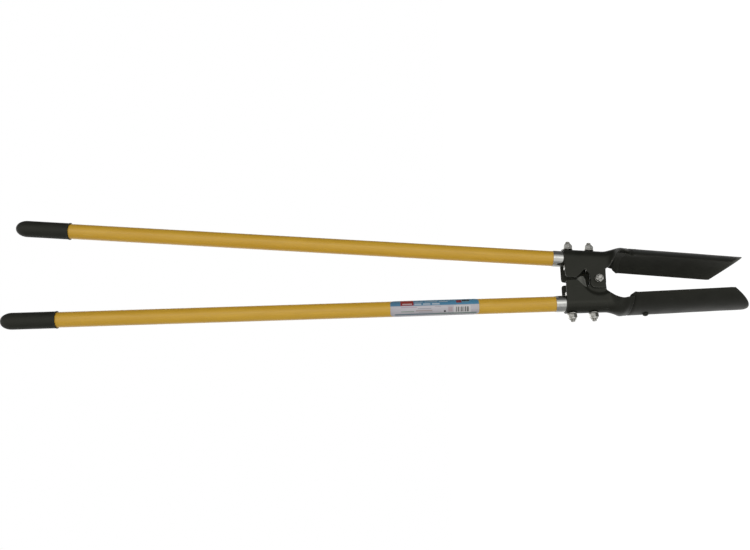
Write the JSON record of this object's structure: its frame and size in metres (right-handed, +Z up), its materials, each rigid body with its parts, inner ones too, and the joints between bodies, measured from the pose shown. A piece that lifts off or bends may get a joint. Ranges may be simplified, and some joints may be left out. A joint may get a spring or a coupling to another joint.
{
  "type": "post hole digger",
  "caption": "Clamshell post hole digger: two long round handles in pressed steel heads joined by one pivot bolt, with two facing curved blades that pinch soil.",
  "frame": {"origin": "middle of the tool's footprint, on the plane that the blade tips stand on", "axes": "+Z up along the tool from the blade tips to the grips; +X from the left handle to the right handle; +Y along the pivot bolt, away from the nut"},
  "size_m": [0.236, 0.1162, 1.5219],
  "materials": {
    "yellow_tube": "yellow pultruded glass-fibre tube, satin to semi-gloss, faint lengthwise lines",
    "core_plug": "plain turned plug, hidden inside the tube",
    "ferrule_steel": "bright plated steel sleeve",
    "grip_rubber": "black moulded rubber, satin",
    "black_paint": "black paint on pressed steel, satin",
    "blade_paint": "black paint on rolled sheet steel, satin, scuffed at the edges",
    "zinc_plate": "zinc-plated steel, slightly dull",
    "nylon": "off-white nylon locking ring",
    "label_film": null
  },
  "bodies": {
    "left_arm": {"left_handle_tube": "yellow_tube", "left_handle_core": "core_plug", "left_ferrule": "ferrule_steel", "left_grip": "grip_rubber", "left_head": "black_paint", "left_blade": "blade_paint", "left_blade_tongue": "blade_paint", "left_blade_rivet": "blade_paint", "left_upper_socket_bolt": "zinc_plate", "left_upper_socket_washer": "zinc_plate", "left_upper_socket_nut": "zinc_plate", "left_upper_socket_nut_insert": "nylon", "left_lower_socket_bolt": "zinc_plate", "left_lower_socket_washer": "zinc_plate", "left_lower_socket_nut": "zinc_plate", "left_lower_socket_nut_insert": "nylon", "pivot_bolt": "zinc_plate", "pivot_back_washer": "zinc_plate", "pivot_front_washer": "zinc_plate", "pivot_nut": "zinc_plate", "pivot_nut_insert": "nylon", "pivot_spacer": "zinc_plate", "handle_label": "label_film"},
    "right_arm": {"right_handle_tube": "yellow_tube", "right_handle_core": "core_plug", "right_ferrule": "ferrule_steel", "right_grip": "grip_rubber", "right_head": "black_paint", "right_blade": "blade_paint", "right_blade_tongue": "blade_paint", "right_blade_rivet": "blade_paint", "right_upper_socket_bolt": "zinc_plate", "right_upper_socket_washer": "zinc_plate", "right_upper_socket_nut": "zinc_plate", "right_upper_socket_nut_insert": "nylon", "right_lower_socket_bolt": "zinc_plate", "right_lower_socket_washer": "zinc_plate", "right_lower_socket_nut": "zinc_plate", "right_lower_socket_nut_insert": "nylon"}
  },
  "joints": [
    {"name": "jaw_pivot", "type": "hinge", "parent": "left_arm", "child": "right_arm", "pos_m": [0, 0, 0.30522], "axis": [0, 1, 0], "range_deg": [-5.3, 11.2]}
  ]
}
